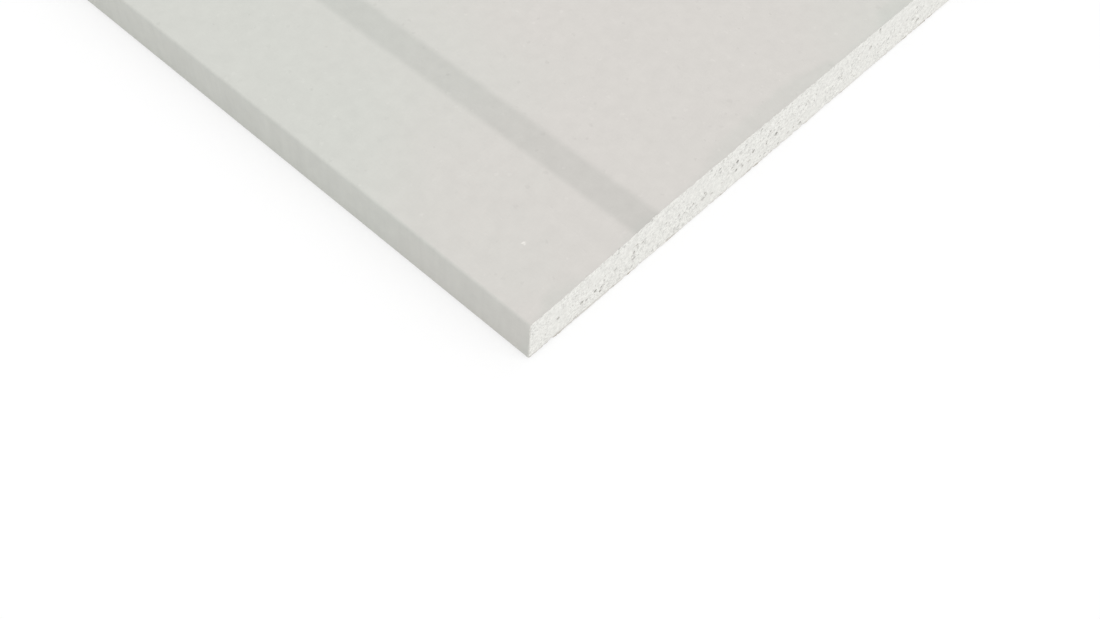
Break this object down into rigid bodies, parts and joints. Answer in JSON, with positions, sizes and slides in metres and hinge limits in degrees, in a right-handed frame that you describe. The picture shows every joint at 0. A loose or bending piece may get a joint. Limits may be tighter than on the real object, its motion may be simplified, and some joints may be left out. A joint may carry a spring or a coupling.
{
  "type": "drywall sheet",
  "caption": "Flat rectangular gypsum board with a paper face that wraps its tapered long edges, bare square-cut ends and a back paper, for lining walls and ceilings.",
  "frame": {"origin": "centre of the sheet on the plane of its back, where it lies on the floor", "axes": "+X across the width, +Y along the length and the paper-bound edges, +Z out of the face"},
  "size_m": [1.2192, 2.4384, 0.0127],
  "materials": {
    "gypsum": "matt, fine-grained and pitted where it is cut",
    "face_paper": "matt, pale ivory grey, finely fibrous",
    "back_paper": "matt, grey-brown, coarsely fibrous"
  },
  "bodies": {
    "root": {"gypsum_core": "gypsum", "face_paper": "face_paper", "back_paper": "back_paper"}
  },
  "joints": []
}
